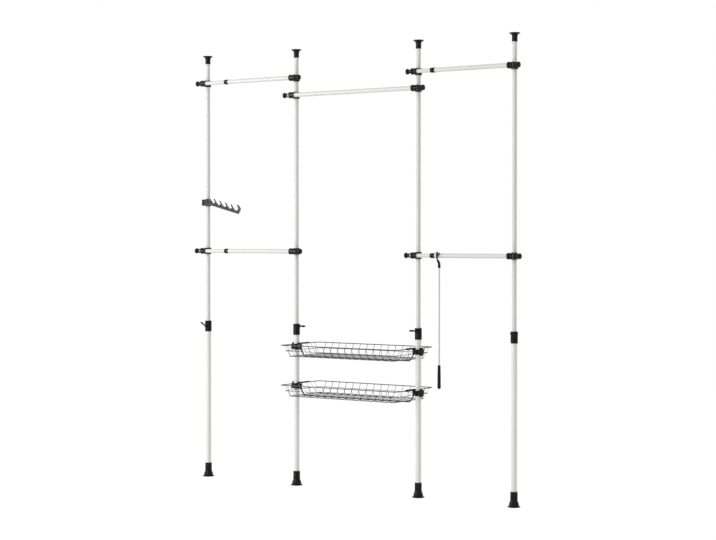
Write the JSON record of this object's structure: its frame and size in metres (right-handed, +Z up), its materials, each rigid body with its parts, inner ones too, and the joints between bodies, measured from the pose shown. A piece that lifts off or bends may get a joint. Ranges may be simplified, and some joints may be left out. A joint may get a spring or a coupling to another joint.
{
  "type": "telescopic clothes rack",
  "caption": "Floor-to-ceiling telescopic clothes rack: clamped posts in a row, telescopic hanging rails, wire baskets, a hook strip and a reach pole.",
  "frame": {"origin": "on the floor, midway between the outer posts", "axes": "+X along the row of posts, -Y the front, +Z up"},
  "size_m": [2.257, 0.385, 2.55],
  "materials": {
    "white_tube": "satin powder coat",
    "black_plastic": "satin moulded",
    "grey_plastic": "satin moulded",
    "basket_wire": "dark powder coat",
    "pole_rod": "satin",
    "screw_steel": "plated"
  },
  "bodies": {
    "middle_lower": {"middle_feet": "black_plastic", "middle_lower_tubes": "white_tube", "middle_lock_collars": "black_plastic"},
    "left_lower": {"left_foot": "black_plastic", "left_lower_tube": "white_tube", "left_lock_collar": "black_plastic"},
    "right_lower": {"right_foot": "black_plastic", "right_lower_tube": "white_tube", "right_lock_collar": "black_plastic"},
    "middle_upper": {"middle_upper_tubes": "white_tube", "middle_guide_bushes": "black_plastic", "middle_ceiling_pads": "black_plastic"},
    "left_upper": {"left_upper_tube": "white_tube", "left_guide_bush": "black_plastic", "left_ceiling_pad": "black_plastic"},
    "right_upper": {"right_upper_tube": "white_tube", "right_guide_bush": "black_plastic", "right_ceiling_pad": "black_plastic"},
    "middle_rail": {"middle_rail_tube": "white_tube", "middle_rail_clamps": "black_plastic", "middle_rail_screws": "screw_steel", "middle_rail_end_caps": "black_plastic"},
    "hook_strip": {"hook_strip": "grey_plastic"},
    "reach_pole": {"reach_pole_head": "black_plastic", "reach_pole_rod": "pole_rod", "reach_pole_handle": "black_plastic"},
    "upper_left_rail_outer": {"upper_left_rail_outer_tube": "white_tube", "upper_left_rail_step_ring": "black_plastic", "upper_left_rail_outer_clamp_and_cap": "black_plastic"},
    "upper_left_rail_inner": {"upper_left_rail_inner_tube": "white_tube", "upper_left_rail_inner_clamp_and_cap": "black_plastic"},
    "lower_left_rail_outer": {"lower_left_rail_outer_tube": "white_tube", "lower_left_rail_step_ring": "black_plastic", "lower_left_rail_outer_clamp_and_cap": "black_plastic"},
    "lower_left_rail_inner": {"lower_left_rail_inner_tube": "white_tube", "lower_left_rail_inner_clamp_and_cap": "black_plastic"},
    "upper_right_rail_outer": {"upper_right_rail_outer_tube": "white_tube", "upper_right_rail_step_ring": "black_plastic", "upper_right_rail_outer_clamp_and_cap": "black_plastic"},
    "upper_right_rail_inner": {"upper_right_rail_inner_tube": "white_tube", "upper_right_rail_inner_clamp_and_cap": "black_plastic"},
    "lower_right_rail_outer": {"lower_right_rail_outer_tube": "white_tube", "lower_right_rail_step_ring": "black_plastic", "lower_right_rail_outer_clamp_and_cap": "black_plastic"},
    "lower_right_rail_inner": {"lower_right_rail_inner_tube": "white_tube", "lower_right_rail_inner_clamp_and_cap": "black_plastic"},
    "lock_lever_1": {"lock_lever_1": "black_plastic"},
    "lock_lever_2": {"lock_lever_2": "black_plastic"},
    "lock_lever_3": {"lock_lever_3": "black_plastic"},
    "lock_lever_4": {"lock_lever_4": "black_plastic"},
    "upper_basket": {"upper_basket": "basket_wire", "upper_basket_support_frame": "basket_wire", "upper_basket_brackets": "black_plastic"},
    "upper_basket_left_knob": {"upper_basket_left_knob": "black_plastic"},
    "upper_basket_right_knob": {"upper_basket_right_knob": "black_plastic"},
    "lower_basket": {"lower_basket": "basket_wire", "lower_basket_support_frame": "basket_wire", "lower_basket_brackets": "black_plastic"},
    "lower_basket_left_knob": {"lower_basket_left_knob": "black_plastic"},
    "lower_basket_right_knob": {"lower_basket_right_knob": "black_plastic"}
  },
  "joints": [
    {"name": "left_bay_width", "type": "slide", "parent": "middle_lower", "child": "left_lower", "axis": [-1, 0, 0], "range_m": [-0.11, 0.28]},
    {"name": "right_bay_width", "type": "slide", "parent": "middle_lower", "child": "right_lower", "axis": [1, 0, 0], "range_m": [-0.07, 0.28]},
    {"name": "post_height", "type": "slide", "parent": "middle_lower", "child": "middle_upper", "axis": [0, 0, 1], "range_m": [-0.24, 0.3]},
    {"name": "left_post_height", "type": "slide", "parent": "left_lower", "child": "left_upper", "axis": [0, 0, 1], "range_m": [-0.24, 0.3]},
    {"name": "right_post_height", "type": "slide", "parent": "right_lower", "child": "right_upper", "axis": [0, 0, 1], "range_m": [-0.24, 0.3]},
    {"name": "middle_rail_height", "type": "slide", "parent": "middle_upper", "child": "middle_rail", "axis": [0, 0, 1], "range_m": [-0.5, 0.04]},
    {"name": "upper_left_rail_height", "type": "slide", "parent": "middle_upper", "child": "upper_left_rail_outer", "axis": [0, 0, 1], "range_m": [-0.04, 0.085]},
    {"name": "upper_left_rail_inner_height", "type": "slide", "parent": "left_upper", "child": "upper_left_rail_inner", "axis": [0, 0, 1], "range_m": [-0.04, 0.085]},
    {"name": "lower_left_rail_height", "type": "slide", "parent": "middle_upper", "child": "lower_left_rail_outer", "axis": [0, 0, 1], "range_m": [-0.1, 0.18]},
    {"name": "lower_left_rail_inner_height", "type": "slide", "parent": "left_upper", "child": "lower_left_rail_inner", "axis": [0, 0, 1], "range_m": [-0.1, 0.18]},
    {"name": "upper_right_rail_height", "type": "slide", "parent": "right_upper", "child": "upper_right_rail_outer", "axis": [0, 0, 1], "range_m": [-0.04, 0.085]},
    {"name": "upper_right_rail_inner_height", "type": "slide", "parent": "middle_upper", "child": "upper_right_rail_inner", "axis": [0, 0, 1], "range_m": [-0.04, 0.085]},
    {"name": "lower_right_rail_height", "type": "slide", "parent": "right_upper", "child": "lower_right_rail_outer", "axis": [0, 0, 1], "range_m": [-0.1, 0.18]},
    {"name": "lower_right_rail_inner_height", "type": "slide", "parent": "middle_upper", "child": "lower_right_rail_inner", "axis": [0, 0, 1], "range_m": [-0.1, 0.18]},
    {"name": "lock_lever_1_turn", "type": "hinge", "parent": "left_lower", "child": "lock_lever_1", "pos_m": [-1.0655, -0.024, 0.917], "axis": [0, -1, 0], "range_deg": [0, 90]},
    {"name": "lock_lever_2_turn", "type": "hinge", "parent": "middle_lower", "child": "lock_lever_2", "pos_m": [-0.3955, 0.024, 0.932], "axis": [0, 1, 0], "range_deg": [0, 90]},
    {"name": "lock_lever_3_turn", "type": "hinge", "parent": "middle_lower", "child": "lock_lever_3", "pos_m": [0.4525, -0.024, 0.932], "axis": [0, -1, 0], "range_deg": [0, 90]},
    {"name": "lock_lever_4_turn", "type": "hinge", "parent": "right_lower", "child": "lock_lever_4", "pos_m": [1.0655, 0.024, 0.932], "axis": [0, -1, 0], "range_deg": [0, 90]},
    {"name": "upper_basket_height", "type": "slide", "parent": "middle_lower", "child": "upper_basket", "axis": [0, 0, 1], "range_m": [-0.1, 0.03]},
    {"name": "upper_basket_left_knob_turn", "type": "hinge", "parent": "upper_basket", "child": "upper_basket_left_knob", "pos_m": [-0.433, 0.028, 0.817], "axis": [-1, 0, 0], "range_deg": [0, 360]},
    {"name": "upper_basket_right_knob_turn", "type": "hinge", "parent": "upper_basket", "child": "upper_basket_right_knob", "pos_m": [0.49, -0.028, 0.817], "axis": [1, 0, 0], "range_deg": [0, 360]},
    {"name": "lower_basket_height", "type": "slide", "parent": "middle_lower", "child": "lower_basket", "axis": [0, 0, 1], "range_m": [-0.34, 0.09]},
    {"name": "lower_basket_left_knob_turn", "type": "hinge", "parent": "lower_basket", "child": "lower_basket_left_knob", "pos_m": [-0.433, 0.028, 0.587], "axis": [-1, 0, 0], "range_deg": [0, 360]},
    {"name": "lower_basket_right_knob_turn", "type": "hinge", "parent": "lower_basket", "child": "lower_basket_right_knob", "pos_m": [0.49, -0.028, 0.587], "axis": [1, 0, 0], "range_deg": [0, 360]},
    {"name": "hook_strip_swivel", "type": "hinge", "parent": "left_upper", "child": "hook_strip", "pos_m": [-1.0655, 0, 1.661], "axis": [0, 0, 1], "range_deg": [-90, 90]},
    {"name": "reach_pole_swing", "type": "hinge", "parent": "lower_right_rail_outer", "child": "reach_pole", "pos_m": [0.6255, -0.04, 1.352], "axis": [1, 0, 0], "range_deg": [-30, 25]}
  ],
  "couplings": [
    {"joint": "left_post_height", "follows": "post_height", "ratio": 1},
    {"joint": "right_post_height", "follows": "post_height", "ratio": 1},
    {"joint": "upper_left_rail_inner_height", "follows": "upper_left_rail_height", "ratio": 1},
    {"joint": "lower_left_rail_inner_height", "follows": "lower_left_rail_height", "ratio": 1},
    {"joint": "upper_right_rail_inner_height", "follows": "upper_right_rail_height", "ratio": 1},
    {"joint": "lower_right_rail_inner_height", "follows": "lower_right_rail_height", "ratio": 1}
  ]
}
